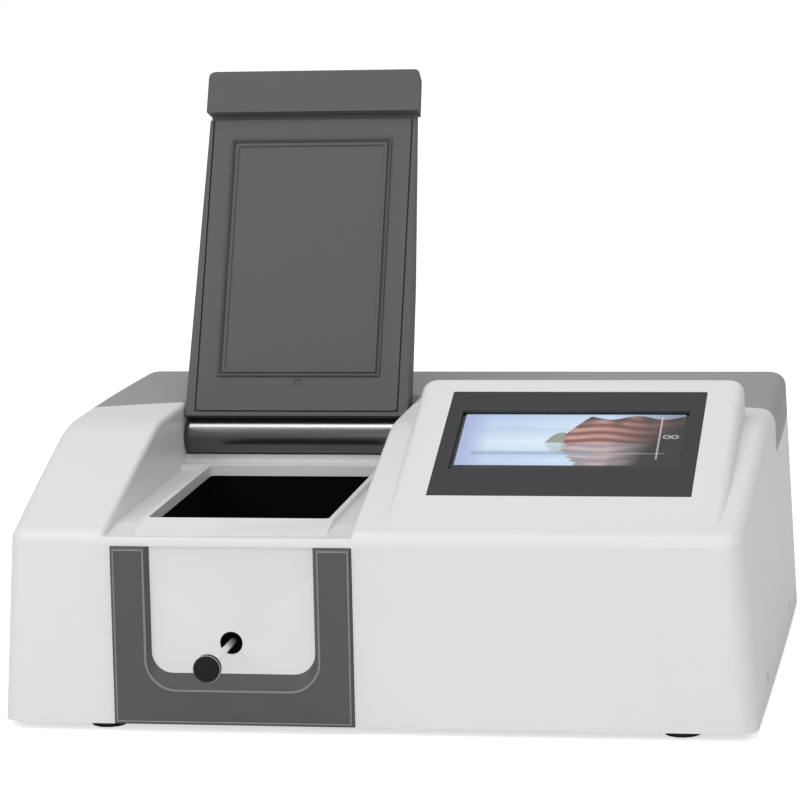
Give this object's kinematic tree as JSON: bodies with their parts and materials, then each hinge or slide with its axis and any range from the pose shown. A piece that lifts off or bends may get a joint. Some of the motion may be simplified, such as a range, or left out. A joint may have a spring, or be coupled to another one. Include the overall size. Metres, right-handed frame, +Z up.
{
  "type": "spectrophotometer",
  "caption": "Benchtop spectrophotometer with a hinged sample lid, a pull rod cell changer, a tilted touch screen and its optics inside a moulded housing.",
  "frame": {"origin": "middle of the footprint, pulled out knob included, at table level", "axes": "+X to the right of the operator, +Y from the front face to the rear, +Z up"},
  "size_m": [0.464, 0.435, 0.3771],
  "materials": {
    "white_plastic": "satin moulded plastic",
    "grey_plastic": "satin moulded plastic",
    "dark_plastic": "satin moulded plastic",
    "lid_plastic": "satin moulded plastic",
    "barrel_plastic": "glossy moulded plastic",
    "bezel_plastic": "matte printed sheet",
    "black_plastic": "black moulded plastic",
    "black_rubber": "matte rubber",
    "black_metal": "black anodised metal",
    "black_screw": "black oxide steel",
    "steel": "bright steel",
    "steel_sheet": "zinc plated sheet",
    "panel_paint": "light grey paint",
    "cast_aluminium": "machined casting",
    "brass": "machined brass",
    "clear_glass": "clear glass",
    "mirror_glass": "front surface mirror",
    "screen": "lit colour screen",
    "circuit_board": "green circuit board",
    "ceramic": "white ceramic"
  },
  "bodies": {
    "housing": {"upper_housing": "white_plastic", "rear_cover": "grey_plastic", "base_plate": "steel_sheet", "rubber_feet": "black_rubber", "foot_screws": "steel", "base_screws": "steel", "side_screws": "black_screw", "front_trim": "dark_plastic", "display_bezel": "bezel_plastic", "touch_glass": "clear_glass", "lcd_module": "screen", "display_board": "circuit_board", "hinge_pins": "steel", "sample_chamber": "black_plastic", "chamber_windows": "clear_glass", "carriage_rails": "steel", "rod_bush": "brass", "front_grommet": "black_plastic", "detent_spring": "steel", "optical_bench": "cast_aluminium", "monochromator_housing": "black_metal", "monochromator_cover": "black_metal", "stepper_motor": "black_metal", "collimating_mirror": "mirror_glass", "slit_plates": "steel", "filter_motor": "steel", "lamp_housing": "cast_aluminium", "lamp_base": "ceramic", "halogen_lamp": "clear_glass", "condenser_mirror": "mirror_glass", "detector_housing": "cast_aluminium", "photodiode_board": "circuit_board", "main_board": "circuit_board", "board_standoffs": "brass", "power_supply": "steel_sheet", "rear_panel": "panel_paint", "rear_panel_screws": "steel", "power_inlet": "black_plastic", "switch_frame": "black_plastic", "data_ports": "steel", "fan_frame": "black_plastic", "fan_guard": "steel"},
    "lid": {"lid_shell": "lid_plastic", "hinge_barrel": "barrel_plastic", "lid_liner": "lid_plastic", "lid_seal": "black_rubber", "lid_screw": "black_screw"},
    "carriage": {"cell_carriage": "black_metal", "cell_springs": "steel", "pull_rod": "steel", "rod_knob": "black_plastic", "knob_ring": "steel"},
    "turntable": {"grating_turntable": "cast_aluminium", "grating": "mirror_glass", "sector_gear": "brass"},
    "pinion": {"motor_pinion": "brass"},
    "wheel": {"filter_wheel": "cast_aluminium"},
    "rotor": {"fan_rotor": "black_plastic"},
    "rocker": {"power_rocker": "black_plastic"}
  },
  "joints": [
    {"name": "lid_hinge", "type": "hinge", "parent": "housing", "child": "lid", "pos_m": [-0.088, 0.0775, 0.1427], "axis": [1, 0, 0], "range_deg": [0, 115]},
    {"name": "carriage_slide", "type": "slide", "parent": "housing", "child": "carriage", "axis": [0, 1, 0], "range_m": [0, 0.045]},
    {"name": "grating_turn", "type": "hinge", "parent": "housing", "child": "turntable", "pos_m": [0.074, -0.021, 0.06], "axis": [0, 0, 1], "range_deg": [-15, 15]},
    {"name": "pinion_turn", "type": "hinge", "parent": "housing", "child": "pinion", "pos_m": [0.0236, -0.021, 0.058], "axis": [0, 0, 1], "range_deg": [-100, 100]},
    {"name": "filter_turn", "type": "hinge", "parent": "housing", "child": "wheel", "pos_m": [0.102, 0.022, 0.077], "axis": [1, 0, 0], "range_deg": [0, 300]},
    {"name": "fan_spin", "type": "hinge", "parent": "housing", "child": "rotor", "pos_m": [0.13, 0.2035, 0.09], "axis": [0, 1, 0], "continuous": true},
    {"name": "rocker_tip", "type": "hinge", "parent": "housing", "child": "rocker", "pos_m": [0.12, 0.2105, 0.042], "axis": [1, 0, 0], "range_deg": [0, 16]}
  ],
  "couplings": [
    {"joint": "pinion_turn", "follows": "grating_turn", "ratio": -6}
  ]
}
